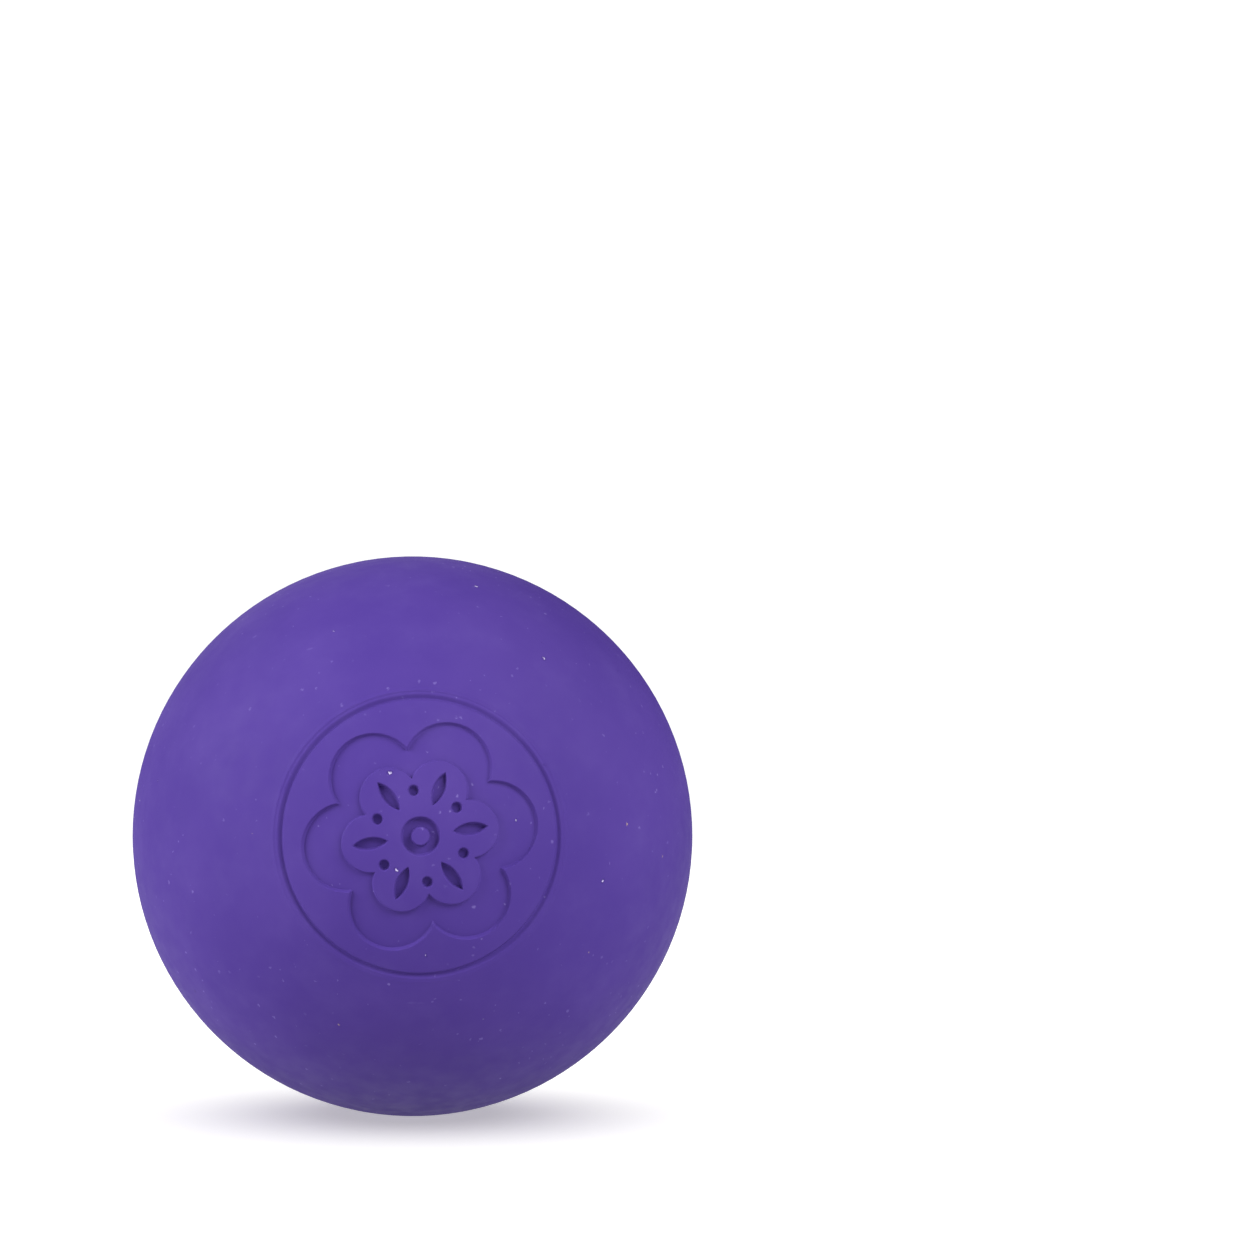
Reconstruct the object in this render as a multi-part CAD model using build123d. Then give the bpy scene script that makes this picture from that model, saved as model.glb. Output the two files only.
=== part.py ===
from build123d import *
import math
import os

# Solid moulded rubber ball: a resilient core inside two half-ball covers.
# The origin is the ball's centre, +Z is up, and the round mark faces -Y.
# The covers meet at the mould's parting line, in the plane Y = 0. All sizes are in mm.

# Ball
BALL_DIAMETER = 63.5
COVER_THICKNESS = 4.5

# Trimmed flash that stands proud along the parting line
FLASH_WIDTH = 0.5
FLASH_HEIGHT = 0.06

# Ring groove round the mark, and the fine raised line left by the edge of the mould's insert
RING_RADIUS = 14.1
RING_WIDTH = 0.6
WITNESS_GAP = 0.82
WITNESS_WIDTH = 0.6
WITNESS_HEIGHT = 0.1

# Mark inside the ring: a scalloped bed is sunk round a flower, which has deeper pockets in it
RING_MARGIN = 1.8
MARK_TURN = 8.5
BED_DEPTH = 0.4
POCKET_DEPTH = 0.6
DIMPLE_DEPTH = 0.55

# Artwork of the mark, drawn to this reach from its middle and then scaled to fit the ring
ART_REACH = 12.0
PETAL_COUNT = 6
BED_NOTCH = 3.1
BED_WIDTH = 4.0
FLOWER_NOTCH = 2.1
SLIT_MARGIN = 1.2
SLIT_LENGTH = 3.4
SLIT_WIDTH = 1.15
DIMPLE_MARGIN = 0.75
DIMPLE_DIAMETER = 1.0
EYE_DIAMETER = 3.8
EYE_RIM = 0.95

# How far a cutting tool runs past the surface that it cuts
OVERRUN = 2.0

ball_radius = BALL_DIAMETER / 2
core_radius = ball_radius - COVER_THICKNESS
flower_reach = ART_REACH - BED_WIDTH
flower_notch_place = flower_reach - FLOWER_NOTCH
half_petal_angle = 180 / PETAL_COUNT
mark_scale = (RING_RADIUS - RING_WIDTH / 2 - RING_MARGIN) / ART_REACH

# The mark is drawn on a plane through the ball's centre that looks out along -Y
mark_turn = math.radians(MARK_TURN)
mark_right = (math.cos(mark_turn), 0, math.sin(mark_turn))
mark_plane = Plane(origin=(0, 0, 0), x_dir=mark_right, z_dir=(0, -1, 0))


def place_on_section(distance, polar_angle):
    """Point of the section at a distance from the ball's centre, turned from the mark's axis."""
    turn = math.radians(polar_angle)
    return Pos(distance * math.sin(turn), -distance * math.cos(turn))


def angle_from_mark(distance):
    """Polar angle of a circle on the ball that lies distance from the mark's axis."""
    return math.degrees(math.asin(distance / ball_radius))


def surface_bead(width, height, polar_angle):
    """A round section that stands height above the ball and is width wide where it meets it."""
    radius = ((width / 2) ** 2 + height**2) / (2 * height)
    return place_on_section(ball_radius + height - radius, polar_angle) * Circle(radius)


def surface_groove(width, polar_angle):
    """A round section sunk half its width into the ball."""
    return place_on_section(ball_radius, polar_angle) * Circle(width / 2)


def cover_section():
    """Section through both covers and the flash on their parting line."""
    return Circle(ball_radius) + surface_bead(FLASH_WIDTH, FLASH_HEIGHT, 90) - Circle(core_radius)


def half_cover(section, side):
    """Turn one quarter of a section about the Y axis; side is -1 at the front, 1 at the back."""
    reach = ball_radius + OVERRUN
    quarter = Pos(reach / 2, side * reach / 2) * Rectangle(reach, reach)
    return revolve(section & quarter, Axis.Y)


def scalloped_outline(reach, notch):
    """A ring of round lobes that reach out to the given distance, with notches between them."""
    half_petal = math.radians(half_petal_angle)
    notch_place = reach - notch
    lobe_place = (reach**2 - notch_place**2) / (2 * (reach - notch_place * math.cos(half_petal)))
    outline = Circle(lobe_place * math.cos(half_petal))
    for place in PolarLocations(lobe_place, PETAL_COUNT):
        outline += place * Circle(reach - lobe_place)
    return outline


def bed_outline():
    """The sunk bed, which leaves the flower standing at its middle."""
    flower = scalloped_outline(flower_reach, FLOWER_NOTCH)
    return scalloped_outline(ART_REACH, BED_NOTCH) - flower


def slit_outlines():
    """A pointed slit along the middle line of each petal, its two sides equal arcs."""
    side_radius = ((SLIT_LENGTH / 2) ** 2 + (SLIT_WIDTH / 2) ** 2) / SLIT_WIDTH
    offset = side_radius - SLIT_WIDTH / 2
    slit = (Pos(0, offset) * Circle(side_radius)) & (Pos(0, -offset) * Circle(side_radius))
    slit_place = flower_reach - SLIT_MARGIN - SLIT_LENGTH / 2
    return [place * slit for place in PolarLocations(slit_place, PETAL_COUNT)]


def dimple_outlines():
    """A round dimple between each two petals, set in from the notch between them."""
    dimple = Circle(DIMPLE_DIAMETER / 2)
    dimple_place = flower_notch_place - DIMPLE_MARGIN - DIMPLE_DIAMETER / 2
    return [place * dimple for place in PolarLocations(dimple_place, PETAL_COUNT, half_petal_angle)]


def eye_outline():
    """A round channel about the mark's axis, with a button left standing in it."""
    return Circle(EYE_DIAMETER / 2) - Circle(EYE_DIAMETER / 2 - EYE_RIM)


def pocket(outline, depth):
    """Everything in front of an outline that is less than depth below the ball's surface."""
    fitted = mark_plane * scale(outline, by=mark_scale)
    return extrude(fitted, amount=ball_radius + OVERRUN) - Sphere(ball_radius - depth)


def make_core():
    return Sphere(core_radius)


def make_rear_cover():
    return half_cover(cover_section(), 1)


def make_front_cover():
    witness_angle = angle_from_mark(RING_RADIUS + WITNESS_GAP)
    witness = surface_bead(WITNESS_WIDTH, WITNESS_HEIGHT, witness_angle)
    groove = surface_groove(RING_WIDTH, angle_from_mark(RING_RADIUS))
    cover = half_cover(cover_section() + witness - groove, -1)
    cover -= pocket(bed_outline(), BED_DEPTH)
    cover -= pocket(eye_outline(), POCKET_DEPTH)
    for slit in slit_outlines():
        cover -= pocket(slit, POCKET_DEPTH)
    for dimple in dimple_outlines():
        cover -= pocket(dimple, DIMPLE_DEPTH)
    return cover


pieces = {
    "core": make_core(),
    "front_cover": make_front_cover(),
    "rear_cover": make_rear_cover(),
}

os.makedirs("parts", exist_ok=True)
for node, piece in pieces.items():
    export_step(piece, f"parts/{node}.step")
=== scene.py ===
import math

import bmesh
import bpy
import numpy as np
from bpy.props import FloatProperty, FloatVectorProperty, IntProperty, PointerProperty
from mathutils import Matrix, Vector


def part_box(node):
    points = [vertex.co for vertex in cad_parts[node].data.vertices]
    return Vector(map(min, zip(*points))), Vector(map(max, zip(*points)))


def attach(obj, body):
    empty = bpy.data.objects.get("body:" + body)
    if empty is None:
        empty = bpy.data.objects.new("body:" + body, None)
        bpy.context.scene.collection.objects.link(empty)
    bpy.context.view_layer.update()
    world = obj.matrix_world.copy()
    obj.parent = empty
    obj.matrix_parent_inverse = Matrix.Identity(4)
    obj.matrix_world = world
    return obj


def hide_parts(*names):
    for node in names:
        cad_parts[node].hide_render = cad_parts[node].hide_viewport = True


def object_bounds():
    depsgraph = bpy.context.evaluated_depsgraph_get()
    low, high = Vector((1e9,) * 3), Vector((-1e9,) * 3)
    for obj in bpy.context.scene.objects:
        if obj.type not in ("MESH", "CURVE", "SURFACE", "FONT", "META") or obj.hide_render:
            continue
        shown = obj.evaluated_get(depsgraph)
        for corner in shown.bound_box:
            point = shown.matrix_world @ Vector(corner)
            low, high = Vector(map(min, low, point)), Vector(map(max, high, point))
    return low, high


bl_info = {
    "name": "Solid Rubber Ball",
    "version": (1, 0, 0),
    "blender": (4, 5, 0),
    "location": "View3D > Sidebar > Rubber Ball",
    "description": "Moulds a solid rubber ball with a flower mark, and sets up a studio for it",
    "category": "Add Mesh",
}

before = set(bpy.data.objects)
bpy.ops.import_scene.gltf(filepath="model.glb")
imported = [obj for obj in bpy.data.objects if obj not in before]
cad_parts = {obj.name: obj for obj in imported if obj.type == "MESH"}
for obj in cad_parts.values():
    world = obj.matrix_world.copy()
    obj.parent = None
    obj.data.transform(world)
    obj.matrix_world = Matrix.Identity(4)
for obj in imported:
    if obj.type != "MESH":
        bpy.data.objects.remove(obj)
cad_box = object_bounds()

# Everything is in metres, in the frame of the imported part: +Z up, the mark faces -Y.
MM = 0.001
COVER_MATERIAL = "cover_rubber_moulded"
CORE_MATERIAL = "core_rubber_filled"
BODY = "root"

# Side of the parting plane that a cover lies on, as the sign of Y
FRONT = -1
BACK = 1

front_low, front_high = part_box("front_cover")
BALL_RADIUS = -front_low.y
FLASH_HEIGHT = front_high.x - BALL_RADIUS
CORE_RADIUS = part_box("core")[1].z

# Profiles of the soft lines, as shares of each line's width: how far the groove and the
# raised line run inwards and outwards, and how far the raised line's crest leans in
FLASH_RUN = 1.3
GROOVE_INNER_RUN = 0.5
GROOVE_OUTER_RUN = 0.75
WITNESS_INNER_RUN = 0.3
WITNESS_OUTER_RUN = 0.7
WITNESS_LEAN = 0.15

# What trimming left of the flash: waves round the parting line, as (waves per turn, phase)
FLASH_MEAN = 0.62
FLASH_SLOW_SWING = 0.12
FLASH_SLOW_WAVES = ((3, 0.6), (7, 2.1))
FLASH_QUICK_SWING = 0.06
FLASH_QUICK_WAVES = ((31, 1.3), (53, 0.0), (97, 0.4))

# What wear left of the raised line, which is lowest at the bottom of the ring
WITNESS_MEAN = 0.7
WITNESS_SWING = 0.55
LEAST_LEFT = 0.15

# Meshing: rounds of even splitting, then rounds of splitting edges that are too long for
# their distance from the nearest line. Soft lines count as standing further off.
EVEN_ROUNDS = 5
MOST_ROUNDS = 9
SPLIT_OVER = 1.35
FLAT_BAND = 0.10 * MM
EDGE_GROWTH = 0.5
FLASH_STANDOFF = 0.35 * MM
RING_STANDOFF = 0.14 * MM
WITNESS_STANDOFF = 0.2 * MM

# A face belongs to the flat rim if it lies this near the parting plane and this square to it
RIM_TOLERANCE = 0.01 * MM
RIM_SQUARENESS = 0.9999

# Finish of the paper on the floor
PAPER_ROUGHNESS = 0.9
PAPER_POLISH = 0.1
PAPER_DARKEST = 0.985


def length(name, description, default):
    return FloatProperty(
        name=name, description=description, default=default, min=0.0, precision=5, unit="LENGTH"
    )


def colour(name, description, default):
    return FloatVectorProperty(
        name=name,
        description=description,
        default=default,
        size=3,
        min=0.0,
        max=1.0,
        subtype="COLOR",
    )


def angle(name, description, degrees):
    default = math.radians(degrees)
    return FloatProperty(name=name, description=description, default=default, subtype="ANGLE")


def share(name, description, default):
    return FloatProperty(
        name=name, description=description, default=default, min=0.0, max=1.0, subtype="FACTOR"
    )


def level(name, description, default):
    return FloatProperty(name=name, description=description, default=default, min=0.0)


class BallSizes(bpy.types.PropertyGroup):
    ball_radius: length("Ball radius", "From the centre to the moulded surface", BALL_RADIUS)
    core_radius: length("Core radius", "From the centre to the inside of the covers", CORE_RADIUS)
    flash_width: length("Flash width", "Width of the trimmed bead on the parting line", 0.5 * MM)
    flash_height: length("Flash height", "How far the trimmed bead stands proud", FLASH_HEIGHT)
    finest_edge: length("Finest edge", "Mesh edge length on the walls of the mark", 0.074 * MM)
    widest_edge: length("Widest edge", "Mesh edge length on the plain parts of the ball", 1.7 * MM)


class MarkSizes(bpy.types.PropertyGroup):
    ring_radius: length("Ring radius", "Middle line of the groove round the mark", 14.1 * MM)
    ring_width: length("Ring width", "Width of the groove between its rounded lips", 0.6 * MM)
    witness_gap: length("Witness gap", "From the groove to the raised line outside it", 0.82 * MM)
    witness_width: length("Witness width", "Width of the raised line", 0.6 * MM)
    witness_height: length("Witness height", "How far the raised line stands proud", 0.1 * MM)
    ring_margin: length("Ring margin", "Plain band from the groove to the bed's lobes", 1.8 * MM)
    turn: angle("Turn", "How far the mark sits turned, anticlockwise from the front", 8.5)
    bed_depth: length("Bed depth", "Depth of the scalloped bed", 0.4 * MM)
    pocket_depth: length("Pocket depth", "Depth of the slits and of the eye's channel", 0.6 * MM)
    dimple_depth: length("Dimple depth", "Depth of the round dimples", 0.55 * MM)
    wall_run: length("Wall run", "Width that a moulded wall takes from lip to foot", 0.17 * MM)
    art_reach: length("Artwork reach", "Reach that the artwork is first drawn to", 12.0 * MM)
    petals: IntProperty(
        name="Petals", description="Number of petals and of lobes", default=6, min=3
    )
    bed_notch: length("Bed notch", "Depth of the notches between the bed's lobes", 3.1 * MM)
    bed_width: length("Bed width", "From the bed's lobes in to the flower's petals", 4.0 * MM)
    flower_notch: length("Flower notch", "Depth of the notches between the petals", 2.1 * MM)
    slit_margin: length("Slit margin", "From a petal's tip to its slit", 1.2 * MM)
    slit_length: length("Slit length", "Length of the pointed slit in each petal", 3.4 * MM)
    slit_width: length("Slit width", "Width of the slit at its middle", 1.15 * MM)
    dimple_margin: length("Dimple margin", "From a notch in to the dimple beside it", 0.75 * MM)
    dimple_diameter: length("Dimple diameter", "Diameter of the round dimples", 1.0 * MM)
    eye_diameter: length("Eye diameter", "Outer diameter of the round channel", 3.8 * MM)
    eye_rim: length("Eye rim", "Width of the round channel", 0.95 * MM)


class RubberLooks(bpy.types.PropertyGroup):
    cover: colour("Cover", "Moulded rubber of the covers", (0.0545, 0.0290, 0.1850))
    cover_deep: colour("Cover, deep", "Denser patches of the covers", (0.0480, 0.0250, 0.1730))
    bloom: colour("Bloom", "Pale film that rises on cured rubber", (0.125, 0.090, 0.290))
    dust: colour("Dust", "Pale specks of dust and talc", (0.400, 0.350, 0.540))
    # Painted shadow: the dark ring round each dust speck, as if the speck cast it on the rubber
    speck_shadow: colour("Shade", "Dark seat of a speck in the rubber", (0.018, 0.008, 0.085))
    grit: colour("Grit", "Warm specks of grit", (0.300, 0.210, 0.150))
    core: colour("Core", "Filled rubber of the core", (0.105, 0.092, 0.086))
    core_crumb: colour("Core crumb", "Crumbs of ground rubber in the core", (0.300, 0.275, 0.250))
    roughness: share("Roughness", "Roughness of the moulded skin", 0.68)
    polish: share("Gloss", "Strength of the skin's reflections", 0.065)


class StudioSetup(bpy.types.PropertyGroup):
    lens: FloatProperty(
        name="Lens", description="Focal length in millimetres", default=64.0, min=10.0
    )
    distance: length("Distance", "From the camera to the ball's centre", 0.254)
    azimuth: angle("Azimuth", "Camera's turn about the ball, to the right", -1.45)
    elevation: angle("Elevation", "Camera's height above the ball's middle", 0.0)
    shift_right: FloatProperty(
        name="Shift right", description="Frame's shift to the right", default=0.170
    )
    shift_up: FloatProperty(name="Shift up", description="Frame's shift upwards", default=0.169)
    floor_radius: length("Floor radius", "Radius of the round floor", 6.0)
    floor: colour("Floor", "Pale paper that the ball stands on", (0.88, 0.88, 0.88))
    # Painted light: the paper's own glow, standing in for a table lit from below
    glow: level("Glow", "Even light of the table under the paper", 0.44)
    glow_colour: colour("Glow colour", "Tint of the light through the paper", (1.0, 0.99, 0.91))
    backdrop: level("Backdrop", "Brightness of the white behind", 1.1)
    panel_distance: length("Panel distance", "From the soft panels to the ball's centre", 1.1)
    panel_width: length("Panel width", "Width of the soft panels", 0.9)
    panel_height: length("Panel height", "Height of the soft panels", 0.65)
    key: level("Key", "Power of the left panel", 22.5)
    key_azimuth: angle("Key azimuth", "Turn of the left panel from straight in front", -72.0)
    key_elevation: angle("Key elevation", "Height of the left panel", 26.0)
    fill: level("Fill", "Power of the right panel", 20.0)
    fill_azimuth: angle("Fill azimuth", "Turn of the right panel from straight in front", 48.0)
    fill_elevation: angle("Fill elevation", "Height of the right panel", 35.0)
    back: level("Back", "Power of the panel behind", 2.2)
    back_azimuth: angle("Back azimuth", "Turn of the rear panel from straight in front", -165.0)
    back_elevation: angle("Back elevation", "Height of the rear panel", 32.0)
    table: level("Table", "Power of the panel under the table", 4.5)
    table_azimuth: angle("Table azimuth", "Turn of the table's panel from straight in front", 180.0)
    table_elevation: angle("Table elevation", "Height of the table's panel, below the ball", -57.0)
    overhead: level("Overhead", "Strength of the lamp on the floor", 3.6)
    overhead_spread: angle("Overhead spread", "Apparent width of the floor's lamp", 120.0)
    overhead_tilt: angle("Overhead tilt", "Lean of the floor's lamp towards the back", -8.0)


# ---- Shape of the moulding ----


def one_petal(across, up, count, start=0.0):
    """Fold points about the mark's middle into the sector of one petal: (along, across) it."""
    sector = 2 * math.pi / count
    turn = np.arctan2(up, across) - start
    turn = (turn + sector / 2) % sector - sector / 2
    reach = np.hypot(across, up)
    return reach * np.cos(turn), reach * np.sin(turn)


def scallop_distance(across, up, reach, notch, count):
    """Distance outside a ring of round lobes that is filled in at its middle."""
    half_petal = math.pi / count
    notch_place = reach - notch
    lobe_place = (reach**2 - notch_place**2) / (2 * (reach - notch_place * math.cos(half_petal)))
    along, aside = one_petal(across, up, count)
    lobe = np.hypot(along - lobe_place, aside) - (reach - lobe_place)
    middle = np.hypot(across, up) - lobe_place * math.cos(half_petal)
    return np.minimum(lobe, middle)


def slit_distance(across, up, mark, flower_reach):
    """Distance outside the pointed slits, one on the middle line of each petal."""
    half_length = mark.slit_length / 2
    side_radius = (half_length**2 + (mark.slit_width / 2) ** 2) / mark.slit_width
    offset = side_radius - mark.slit_width / 2
    along, aside = one_petal(across, up, mark.petals)
    along = along - (flower_reach - mark.slit_margin - half_length)
    return np.hypot(along, np.abs(aside) + offset) - side_radius


def dimple_distance(across, up, mark, flower_reach):
    """Distance outside the round dimples, one between each two petals."""
    radius = mark.dimple_diameter / 2
    place = flower_reach - mark.flower_notch - mark.dimple_margin - radius
    along, aside = one_petal(across, up, mark.petals, math.pi / mark.petals)
    return np.hypot(along - place, aside) - radius


def eye_distance(across, up, mark):
    """Distance outside the round channel about the mark's middle."""
    middle_line = mark.eye_diameter / 2 - mark.eye_rim / 2
    return np.abs(np.hypot(across, up) - middle_line) - mark.eye_rim / 2


def mark_distances(points, mark):
    """Distance of points outside each outline of the mark, and the outline's depth."""
    fit = (mark.ring_radius - mark.ring_width / 2 - mark.ring_margin) / mark.art_reach
    cos_turn = math.cos(mark.turn)
    sin_turn = math.sin(mark.turn)
    across = (points[:, 0] * cos_turn + points[:, 2] * sin_turn) / fit
    up = (points[:, 2] * cos_turn - points[:, 0] * sin_turn) / fit
    flower_reach = mark.art_reach - mark.bed_width
    lobes = scallop_distance(across, up, mark.art_reach, mark.bed_notch, mark.petals)
    flower = scallop_distance(across, up, flower_reach, mark.flower_notch, mark.petals)
    return [
        (np.maximum(lobes, -flower) * fit, mark.bed_depth),
        (slit_distance(across, up, mark, flower_reach) * fit, mark.pocket_depth),
        (eye_distance(across, up, mark) * fit, mark.pocket_depth),
        (dimple_distance(across, up, mark, flower_reach) * fit, mark.dimple_depth),
    ]


def moulded_step(distance, run):
    """1 well inside an outline, 0 well outside it, with a rounded lip and foot between."""
    share_in = np.clip(0.5 - distance / run, 0.0, 1.0)
    return share_in * share_in * (3 - 2 * share_in)


def rounded_bead(distance, width):
    """1 on a line, falling smoothly to 0 at half the bead's width on each side."""
    share_out = np.clip(np.abs(distance) / (width / 2), 0.0, 1.0)
    return 0.5 + 0.5 * np.cos(math.pi * share_out)


def leaning_bead(distance, inner_run, outer_run):
    """1 on a line, falling smoothly to 0 over one run inwards and another outwards."""
    inner = rounded_bead(distance, 2 * inner_run)
    outer = rounded_bead(distance, 2 * outer_run)
    return np.where(distance < 0, inner, outer)


def waves(turn, counts_and_phases):
    return sum(np.sin(count * turn + phase) for count, phase in counts_and_phases)


def flash_left(points):
    """How much of the flash the trimming left, from place to place round the parting line."""
    turn = np.arctan2(points[:, 2], points[:, 0])
    slow = FLASH_SLOW_SWING * waves(turn, FLASH_SLOW_WAVES)
    quick = FLASH_QUICK_SWING * waves(turn, FLASH_QUICK_WAVES)
    return np.clip(FLASH_MEAN + slow + quick, LEAST_LEFT, 1.0)


def witness_left(points):
    """How much of the raised line is left; the added millimetre is for the front pole itself."""
    from_axis = np.hypot(points[:, 0], points[:, 2]) + MM
    return np.clip(WITNESS_MEAN + WITNESS_SWING * points[:, 2] / from_axis, LEAST_LEFT, 1.0)


def moulded_height(points, sizes, mark, has_mark):
    """Height of the moulded skin above the plain ball at points of its surface."""
    flash = rounded_bead(points[:, 1], FLASH_RUN * sizes.flash_width)
    height = sizes.flash_height * flash_left(points) * flash
    if not has_mark:
        return height
    for distance, depth in mark_distances(points, mark):
        height = height - depth * moulded_step(distance, mark.wall_run)
    from_ring = np.hypot(points[:, 0], points[:, 2]) - mark.ring_radius
    groove = leaning_bead(
        from_ring, GROOVE_INNER_RUN * mark.ring_width, GROOVE_OUTER_RUN * mark.ring_width
    )
    from_crest = from_ring - mark.witness_gap + WITNESS_LEAN * mark.witness_width
    witness = leaning_bead(
        from_crest, WITNESS_INNER_RUN * mark.witness_width, WITNESS_OUTER_RUN * mark.witness_width
    )
    witness = mark.witness_height * witness_left(points) * witness
    return height - mark.ring_width / 2 * groove + witness


def outside_band(distance, width):
    """Distance outside a band, from the distance outside its middle line."""
    return np.maximum(np.abs(distance) - width / 2, 0.0)


def nearest_line(points, mark, has_mark):
    """Distance from the nearest line: an outline, the groove, the raised line or the flash."""
    nearest = np.abs(points[:, 1]) + FLASH_STANDOFF
    if not has_mark:
        return nearest
    for distance, _ in mark_distances(points, mark):
        nearest = np.minimum(nearest, np.abs(distance))
    from_ring = np.hypot(points[:, 0], points[:, 2]) - mark.ring_radius
    ring = outside_band(from_ring, mark.ring_width) + RING_STANDOFF
    witness = outside_band(from_ring - mark.witness_gap, mark.witness_width) + WITNESS_STANDOFF
    return np.minimum(nearest, np.minimum(ring, witness))


# ---- Meshes ----


def half_octahedron(mesh, radius, side):
    """Four triangles that stand on the parting plane; side is FRONT or BACK."""
    corners = [(radius, 0, 0), (0, 0, radius), (-radius, 0, 0), (0, 0, -radius)]
    rim = [mesh.verts.new(corner) for corner in corners]
    pole = mesh.verts.new((0, side * radius, 0))
    for first, second in zip(rim, rim[1:] + rim[:1]):
        mesh.faces.new((first, second, pole) if side == FRONT else (second, first, pole))


def onto_sphere(vertices, radius):
    for vertex in vertices:
        vertex.co = vertex.co.normalized() * radius


def split_edges(mesh, edges, radius):
    """Halve the edges, keep the new corners on the sphere and the faces three-sided."""
    bmesh.ops.subdivide_edges(mesh, edges=edges, cuts=1)
    onto_sphere(mesh.verts, radius)
    wide = [face for face in mesh.faces if len(face.verts) > 3]
    bmesh.ops.triangulate(mesh, faces=wide, quad_method="SHORT_EDGE", ngon_method="BEAUTY")


def half_ball(mesh, radius, side):
    """Half a ball of even triangles, open at the parting plane."""
    half_octahedron(mesh, radius, side)
    for _ in range(EVEN_ROUNDS):
        split_edges(mesh, list(mesh.edges), radius)


def refine_near_lines(mesh, sizes, mark, has_mark):
    """Split edges until each is short enough for how near it lies to a moulded line."""
    for _ in range(MOST_ROUNDS):
        edges = list(mesh.edges)
        ends = np.array([(*edge.verts[0].co, *edge.verts[1].co) for edge in edges])
        lengths = np.linalg.norm(ends[:, :3] - ends[:, 3:], axis=1)
        near = nearest_line((ends[:, :3] + ends[:, 3:]) / 2, mark, has_mark)
        near = np.maximum(near - lengths / 2, 0.0)
        wanted = sizes.finest_edge + EDGE_GROWTH * (near - FLAT_BAND)
        wanted = np.clip(wanted, sizes.finest_edge, sizes.widest_edge)
        long_edges = [edges[i] for i in np.nonzero(lengths > SPLIT_OVER * wanted)[0]]
        if not long_edges:
            return
        split_edges(mesh, long_edges, sizes.ball_radius)


def outer_skin(sizes, mark, side):
    """The moulded outside of one cover, as an open triangle mesh down to the parting plane."""
    has_mark = side == FRONT
    mesh = bmesh.new()
    half_ball(mesh, sizes.ball_radius, side)
    refine_near_lines(mesh, sizes, mark, has_mark)
    points = np.array([vertex.co for vertex in mesh.verts])
    heights = moulded_height(points, sizes, mark, has_mark)
    for vertex, height in zip(mesh.verts, heights):
        vertex.co *= 1 + height / sizes.ball_radius
    return mesh


def on_flat_rim(face):
    """Whether a face is part of the flat rim that meets the other cover."""
    lies_on_plane = abs(face.calc_center_median().y) <= RIM_TOLERANCE
    return lies_on_plane and abs(face.normal.y) >= RIM_SQUARENESS


def close_cover(mesh, sizes, side):
    """Add the hollow inside of the cover and the flat rim that meets the other cover."""
    inside = bmesh.new()
    half_ball(inside, sizes.core_radius, side)
    bmesh.ops.reverse_faces(inside, faces=inside.faces)
    inside_data = bpy.data.meshes.new("cover_inside")
    inside.to_mesh(inside_data)
    inside.free()
    mesh.from_mesh(inside_data)
    bpy.data.meshes.remove(inside_data)
    rims = [edge for edge in mesh.edges if edge.is_boundary]
    bmesh.ops.triangle_fill(
        mesh, use_beauty=True, use_dissolve=False, edges=rims, normal=(0, -side, 0)
    )
    bmesh.ops.recalc_face_normals(mesh, faces=mesh.faces)
    for face in mesh.faces:
        face.smooth = not on_flat_rim(face)


def make_cover(name, node, sizes, mark, side, material):
    mesh = outer_skin(sizes, mark, side)
    close_cover(mesh, sizes, side)
    data = bpy.data.meshes.new(name)
    mesh.to_mesh(data)
    mesh.free()
    cover = bpy.data.objects.new(name, data)
    bpy.context.scene.collection.objects.link(cover)
    data.materials.append(material)
    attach(cover, BODY)
    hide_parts(node)


# ---- Finishes ----


def add_node(tree, kind, inputs=None, **settings):
    """New node with its settings, and its inputs set to values or linked to outputs."""
    node = tree.nodes.new(kind)
    for name, value in settings.items():
        setattr(node, name, value)
    for socket, value in (inputs or {}).items():
        if isinstance(value, bpy.types.NodeSocket):
            tree.links.new(value, node.inputs[socket])
        else:
            node.inputs[socket].default_value = value
    return node


def maths(tree, operation, first, second):
    return add_node(tree, "ShaderNodeMath", {0: first, 1: second}, operation=operation).outputs[0]


def plus(tree, first, second):
    return maths(tree, "ADD", first, second)


def times(tree, first, second):
    return maths(tree, "MULTIPLY", first, second)


def ramp(tree, value, low, high, low_result=0.0, high_result=1.0):
    """Value between low and high, turned smoothly into a result between the other two."""
    inputs = {
        "Value": value,
        "From Min": low,
        "From Max": high,
        "To Min": low_result,
        "To Max": high_result,
    }
    node = add_node(tree, "ShaderNodeMapRange", inputs, interpolation_type="SMOOTHSTEP")
    return node.outputs["Result"]


def colour_input(value):
    """A colour as a mixing node takes it: a link as it is, or red, green and blue made opaque."""
    return value if isinstance(value, bpy.types.NodeSocket) else (*value, 1.0)


def mix_colours(tree, amount, first, second):
    inputs = {0: amount, 6: colour_input(first), 7: colour_input(second)}
    return add_node(tree, "ShaderNodeMix", inputs, data_type="RGBA").outputs[2]


def noise(tree, place, per_mm, detail=2.0, roughness=0.5):
    inputs = {"Vector": place, "Scale": per_mm, "Detail": detail, "Roughness": roughness}
    return add_node(tree, "ShaderNodeTexNoise", inputs).outputs["Fac"]


def specks(tree, place, spacing, radius, kept):
    """Specks of about the radius, scattered at the spacing in mm; kept is the share that shows."""
    least_size = 0.45
    soft_edge = 0.5
    cells = add_node(tree, "ShaderNodeTexVoronoi", {"Vector": place, "Scale": 1 / spacing})
    pick = add_node(tree, "ShaderNodeSeparateColor", {"Color": cells.outputs["Color"]})
    edge = times(tree, plus(tree, pick.outputs[1], least_size), radius / spacing)
    dots = ramp(tree, cells.outputs["Distance"], edge, times(tree, edge, soft_edge))
    chosen = maths(tree, "LESS_THAN", pick.outputs[0], kept)
    return times(tree, dots, chosen)


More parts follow.
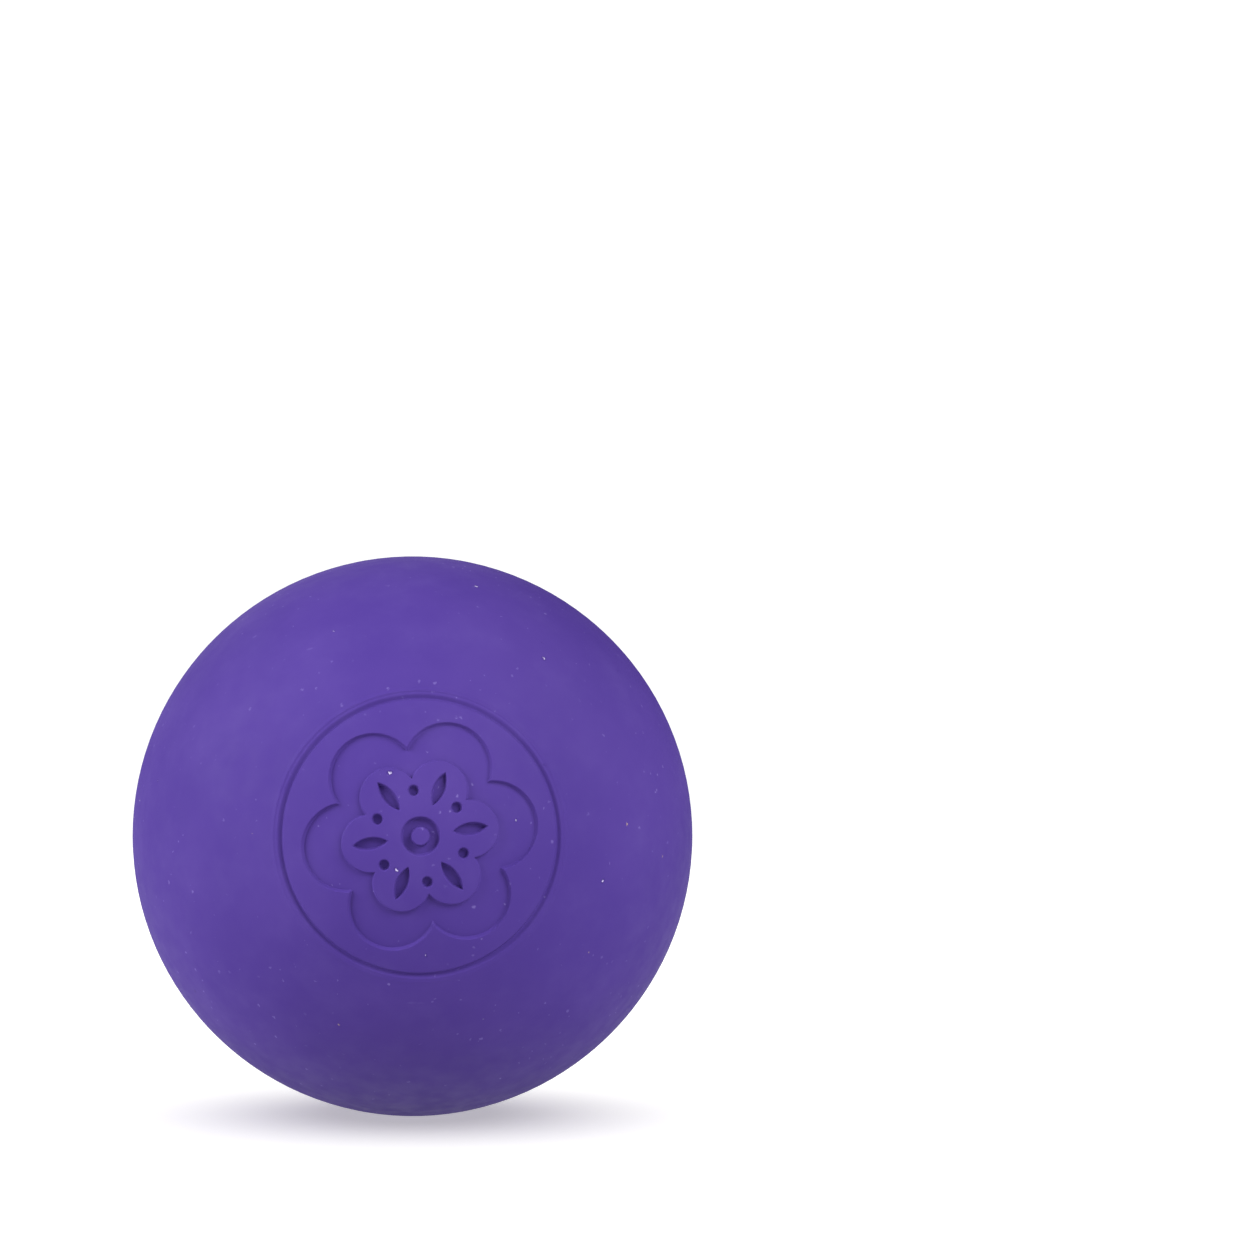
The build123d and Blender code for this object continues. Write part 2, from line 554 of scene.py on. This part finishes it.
def vector_maths(tree, operation, inputs):
    return add_node(tree, "ShaderNodeVectorMath", inputs, operation=operation).outputs[0]


def ragged(tree, place, per_mm, reach):
    """Coordinates pushed about by a fine noise, so that round specks become ragged crumbs."""
    inputs = {"Vector": place, "Scale": per_mm, "Detail": 1.0}
    push = add_node(tree, "ShaderNodeTexNoise", inputs).outputs["Color"]
    centred = vector_maths(tree, "SUBTRACT", {0: push, 1: (0.5, 0.5, 0.5)})
    offset = vector_maths(tree, "SCALE", {0: centred, 3: reach})
    return vector_maths(tree, "ADD", {0: place, 1: offset})


def stretched(tree, place, turn, stretch):
    """Coordinates turned and squeezed, so that round specks become strokes."""
    inputs = {"Vector": place, "Rotation": turn, "Scale": stretch}
    return add_node(tree, "ShaderNodeMapping", inputs).outputs["Vector"]


def new_material(name):
    """Material with a bare Principled shader, and its surface coordinates in millimetres."""
    material = bpy.data.materials.new(name)
    material.use_nodes = True
    tree = material.node_tree
    tree.nodes.clear()
    output = add_node(tree, "ShaderNodeOutputMaterial")
    shader = add_node(tree, "ShaderNodeBsdfPrincipled")
    tree.links.new(shader.outputs["BSDF"], output.inputs["Surface"])
    coordinates = add_node(tree, "ShaderNodeTexCoord")
    place = vector_maths(tree, "SCALE", {0: coordinates.outputs["Object"], 3: 1 / MM})
    return material, tree, shader, place


def add_bump(tree, shader, relief, strength, height):
    """Let a relief of the given height shape the light on a shader."""
    inputs = {"Height": relief, "Strength": strength, "Distance": height}
    bump = add_node(tree, "ShaderNodeBump", inputs)
    tree.links.new(bump.outputs["Normal"], shader.inputs["Normal"])


def cover_rubber(looks):
    """Matte moulded rubber: mottled colour, pale bloom, dust with painted shadows, grit, scuffs and
    a fine grain.
    """
    material, tree, shader, place = new_material(COVER_MATERIAL)

    # A mottled ground, with a cloudy film of bloom on it
    mottle = noise(tree, place, per_mm=0.055, detail=3.0, roughness=0.6)
    mottle = ramp(tree, mottle, low=0.35, high=0.68)
    skin = mix_colours(tree, mottle, looks.cover_deep, looks.cover)
    clouds = noise(tree, place, per_mm=0.16, detail=4.0, roughness=0.62)
    bloom = ramp(tree, clouds, low=0.40, high=0.84, high_result=0.10)
    skin = mix_colours(tree, bloom, skin, looks.bloom)

    # Faint crumbs, gathered in patches
    crumbs = ragged(tree, place, per_mm=3.5, reach=0.5)
    patches = noise(tree, place, per_mm=0.11, detail=2.0)
    patches = ramp(tree, patches, low=0.38, high=0.62, low_result=0.15, high_result=0.8)
    faint = specks(tree, crumbs, spacing=1.2, radius=0.15, kept=0.65)
    skin = mix_colours(tree, times(tree, faint, patches), skin, looks.bloom)

    # Short scuffs where the bloom is thick
    along = stretched(tree, place, turn=(0.0, 0.35, 0.0), stretch=(0.16, 1.0, 1.0))
    strokes = specks(tree, along, spacing=2.2, radius=0.16, kept=0.35)
    thick = ramp(tree, clouds, low=0.50, high=0.66, high_result=0.4)
    scuffs = times(tree, strokes, thick)
    skin = mix_colours(tree, scuffs, skin, looks.bloom)

    # Specks of dust, each ringed by a painted shadow, and warmer grit
    dust_spacing = 3.1
    dust_kept = 0.26
    speck_shadow_strength = 0.5
    grit_strength = 0.8
    speck_shadows = specks(tree, crumbs, spacing=dust_spacing, radius=0.28, kept=dust_kept)
    skin = mix_colours(tree, times(tree, speck_shadows, speck_shadow_strength), skin, looks.speck_shadow)
    dust = specks(tree, crumbs, spacing=dust_spacing, radius=0.15, kept=dust_kept)
    skin = mix_colours(tree, dust, skin, looks.dust)
    grit = specks(tree, crumbs, spacing=4.3, radius=0.16, kept=0.25)
    skin = mix_colours(tree, times(tree, grit, grit_strength), skin, looks.grit)
    tree.links.new(skin, shader.inputs["Base Color"])

    # Uneven dullness, more where there is dust or a scuff
    smoothest = looks.roughness - 0.05
    roughest = looks.roughness + 0.06
    dust_dullness = 0.25
    uneven = noise(tree, place, per_mm=0.5, detail=4.0)
    uneven = ramp(tree, uneven, low=0.3, high=0.7, low_result=smoothest, high_result=roughest)
    dull = times(tree, plus(tree, dust, scuffs), dust_dullness)
    tree.links.new(plus(tree, uneven, dull), shader.inputs["Roughness"])
    shader.inputs["Specular IOR Level"].default_value = looks.polish

    # Grain and pores, and specks that stand proud
    grain_share = 0.4
    pores_share = 0.6
    specks_share = 2.0
    grain = noise(tree, place, per_mm=5.5, detail=2.0)
    pores = noise(tree, place, per_mm=1.3, detail=3.0)
    relief = plus(tree, times(tree, grain, grain_share), times(tree, pores, pores_share))
    relief = plus(tree, relief, times(tree, plus(tree, dust, grit), specks_share))
    add_bump(tree, shader, relief, strength=0.35, height=0.02 * MM)
    return material


def shared_cover_rubber(looks):
    """The rubber that both covers are made of, mixed once."""
    return bpy.data.materials.get(COVER_MATERIAL) or cover_rubber(looks)


def core_rubber(looks):
    """Filled rubber of the core: a dark ground with pale crumbs and a coarse, dull grain."""
    material, tree, shader, place = new_material(CORE_MATERIAL)
    crumb_strength = 0.6
    crumbs = specks(tree, place, spacing=1.4, radius=0.45, kept=0.5)
    tone = noise(tree, place, per_mm=0.3, detail=4.0)
    tone = ramp(tree, tone, low=0.3, high=0.7, high_result=0.35)
    body = mix_colours(tree, tone, looks.core, looks.core_crumb)
    body = mix_colours(tree, times(tree, crumbs, crumb_strength), body, looks.core_crumb)
    tree.links.new(body, shader.inputs["Base Color"])
    rough = noise(tree, place, per_mm=1.2, detail=3.0)
    rough = ramp(tree, rough, low=0.3, high=0.7, low_result=0.78, high_result=0.9)
    tree.links.new(rough, shader.inputs["Roughness"])
    grain = noise(tree, place, per_mm=2.6, detail=4.0)
    add_bump(tree, shader, grain, strength=0.6, height=0.08 * MM)
    return material


def floor_paper(studio):
    """Pale matte paper with a barely uneven tone, which glows of itself as if lit from a table
    beneath.
    """
    material, tree, shader, place = new_material("floor_paper")
    tone = noise(tree, place, per_mm=0.02, detail=3.0)
    tone = ramp(tree, tone, low=0.3, high=0.7)
    darker = tuple(PAPER_DARKEST * channel for channel in studio.floor)
    tree.links.new(mix_colours(tree, tone, darker, studio.floor), shader.inputs["Base Color"])
    shader.inputs["Roughness"].default_value = PAPER_ROUGHNESS
    shader.inputs["Specular IOR Level"].default_value = PAPER_POLISH
    # Painted light: the paper itself glows, so the ball's shadow on it stays pale; the warm tint
    # keeps that shadow grey
    shader.inputs["Emission Color"].default_value = (*studio.glow_colour, 1.0)
    shader.inputs["Emission Strength"].default_value = studio.glow
    return material


# ---- Studio ----


def add_floor(studio):
    """Round floor whose top is level with the ball's lowest point."""
    mesh = bmesh.new()
    bmesh.ops.create_circle(mesh, cap_ends=True, segments=96, radius=studio.floor_radius)
    data = bpy.data.meshes.new("floor")
    mesh.to_mesh(data)
    mesh.free()
    floor = bpy.data.objects.new("floor", data)
    bpy.context.scene.collection.objects.link(floor)
    floor.location = (0, 0, cad_box[0].z)
    data.materials.append(floor_paper(studio))
    return floor


def direction(azimuth, elevation):
    """Unit vector away from the ball; azimuth 0 is straight in front, and grows to the right."""
    flat = math.cos(elevation)
    return Vector((math.sin(azimuth) * flat, -math.cos(azimuth) * flat, math.sin(elevation)))


def light_only(lamp, floor, includes_floor):
    """Let a lamp light the floor alone, or everything but the floor."""
    receivers = bpy.data.collections.new(lamp.name + "_receivers")
    receivers.objects.link(floor)
    link_state = "INCLUDE" if includes_floor else "EXCLUDE"
    receivers.collection_objects[0].light_linking.link_state = link_state
    lamp.light_linking.receiver_collection = receivers


def add_panel(name, power, studio, azimuth, elevation, floor):
    """Soft panel that faces the ball's centre and leaves the floor to its own lamp."""
    data = bpy.data.lights.new(name, "AREA")
    data.shape = "RECTANGLE"
    data.energy = power
    data.size = studio.panel_width
    data.size_y = studio.panel_height
    panel = bpy.data.objects.new(name, data)
    bpy.context.scene.collection.objects.link(panel)
    away = direction(azimuth, elevation)
    panel.location = away * studio.panel_distance
    panel.rotation_euler = (-away).to_track_quat("-Z", "Y").to_euler()
    light_only(panel, floor, includes_floor=False)


def shine_through_floor(panel):
    """Let a panel under the glowing table reach the ball, as through thin paper."""
    panel.light_linking.blocker_collection = panel.light_linking.receiver_collection


def add_floor_lamp(studio, floor):
    """Broad even lamp overhead that lights the floor alone, so the ball keeps its side light."""
    data = bpy.data.lights.new("floor_lamp", "SUN")
    data.energy = studio.overhead
    data.angle = studio.overhead_spread
    lamp = bpy.data.objects.new("floor_lamp", data)
    bpy.context.scene.collection.objects.link(lamp)
    lamp.rotation_euler = (-studio.overhead_tilt, 0.0, 0.0)
    light_only(lamp, floor, includes_floor=True)


def add_backdrop(studio):
    """White all round, which the camera sees and which lights nothing."""
    world = bpy.data.worlds.new("studio_white")
    bpy.context.scene.world = world
    world.use_nodes = True
    background = world.node_tree.nodes["Background"]
    background.inputs["Color"].default_value = (1.0, 1.0, 1.0, 1.0)
    background.inputs["Strength"].default_value = studio.backdrop
    world.cycles_visibility.diffuse = False
    world.cycles_visibility.glossy = False


def add_camera(studio):
    """Camera aimed at the ball's centre, with the frame shifted up and to the right."""
    data = bpy.data.cameras.new("camera")
    data.lens = studio.lens
    data.shift_x = studio.shift_right
    data.shift_y = studio.shift_up
    data.clip_start = 0.01
    data.clip_end = 50.0
    camera = bpy.data.objects.new("camera", data)
    bpy.context.scene.collection.objects.link(camera)
    away = direction(studio.azimuth, studio.elevation)
    camera.location = away * studio.distance
    camera.rotation_euler = (-away).to_track_quat("-Z", "Y").to_euler()
    bpy.context.scene.camera = camera


# ---- Operators ----


class BALL_OT_front_cover(bpy.types.Operator):
    """Mould the front cover, with its mark, ring groove and half of the parting line"""

    bl_idname = "rubber_ball.front_cover"
    bl_label = "Front Cover"

    def execute(self, context):
        scene = context.scene
        rubber = shared_cover_rubber(scene.rubber_looks)
        sizes = scene.ball_sizes
        make_cover("front_cover_moulded", "front_cover", sizes, scene.mark_sizes, FRONT, rubber)
        return {"FINISHED"}


class BALL_OT_rear_cover(bpy.types.Operator):
    """Mould the plain rear cover, with its half of the parting line"""

    bl_idname = "rubber_ball.rear_cover"
    bl_label = "Rear Cover"

    def execute(self, context):
        scene = context.scene
        rubber = shared_cover_rubber(scene.rubber_looks)
        sizes = scene.ball_sizes
        make_cover("rear_cover_moulded", "rear_cover", sizes, scene.mark_sizes, BACK, rubber)
        return {"FINISHED"}


class BALL_OT_core(bpy.types.Operator):
    """Give the core its filled rubber"""

    bl_idname = "rubber_ball.core"
    bl_label = "Core"

    def execute(self, context):
        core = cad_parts["core"]
        core.data.materials.clear()
        core.data.materials.append(core_rubber(context.scene.rubber_looks))
        return {"FINISHED"}


class BALL_OT_studio(bpy.types.Operator):
    """Set up the floor, the soft lights and the camera"""

    bl_idname = "rubber_ball.studio"
    bl_label = "Studio"

    def execute(self, context):
        studio = context.scene.studio_setup
        context.scene.view_settings.view_transform = "Standard"
        floor = add_floor(studio)
        add_backdrop(studio)
        add_floor_lamp(studio, floor)
        panels = (
            ("key_panel", studio.key, studio.key_azimuth, studio.key_elevation),
            ("fill_panel", studio.fill, studio.fill_azimuth, studio.fill_elevation),
            ("back_panel", studio.back, studio.back_azimuth, studio.back_elevation),
            ("table_panel", studio.table, studio.table_azimuth, studio.table_elevation),
        )
        for name, power, azimuth, elevation in panels:
            add_panel(name, power, studio, azimuth, elevation, floor)
        shine_through_floor(context.scene.objects["table_panel"])
        add_camera(studio)
        return {"FINISHED"}


class BALL_PT_panel(bpy.types.Panel):
    """Sizes, colours and pieces of the rubber ball"""

    bl_label = "Rubber Ball"
    bl_idname = "BALL_PT_panel"
    bl_space_type = "VIEW_3D"
    bl_region_type = "UI"
    bl_category = "Rubber Ball"

    def draw(self, context):
        scene = context.scene
        for title, group in (
            ("Ball", scene.ball_sizes),
            ("Mark", scene.mark_sizes),
            ("Rubber", scene.rubber_looks),
            ("Studio", scene.studio_setup),
        ):
            box = self.layout.box()
            box.label(text=title)
            for name in group.__annotations__:
                box.prop(group, name)
        for operator in OPERATORS:
            self.layout.operator(operator.bl_idname)


GROUPS = {
    "ball_sizes": BallSizes,
    "mark_sizes": MarkSizes,
    "rubber_looks": RubberLooks,
    "studio_setup": StudioSetup,
}
OPERATORS = (BALL_OT_front_cover, BALL_OT_rear_cover, BALL_OT_core, BALL_OT_studio)


def register():
    for cls in (*GROUPS.values(), *OPERATORS, BALL_PT_panel):
        bpy.utils.register_class(cls)
    for name, group in GROUPS.items():
        setattr(bpy.types.Scene, name, PointerProperty(type=group))


def unregister():
    for name in GROUPS:
        delattr(bpy.types.Scene, name)
    for cls in (BALL_PT_panel, *reversed(OPERATORS), *GROUPS.values()):
        bpy.utils.unregister_class(cls)


def main():
    register()
    bpy.ops.rubber_ball.front_cover()
    bpy.ops.rubber_ball.rear_cover()
    bpy.ops.rubber_ball.core()
    bpy.ops.rubber_ball.studio()


if __name__ == "__main__":
    main()
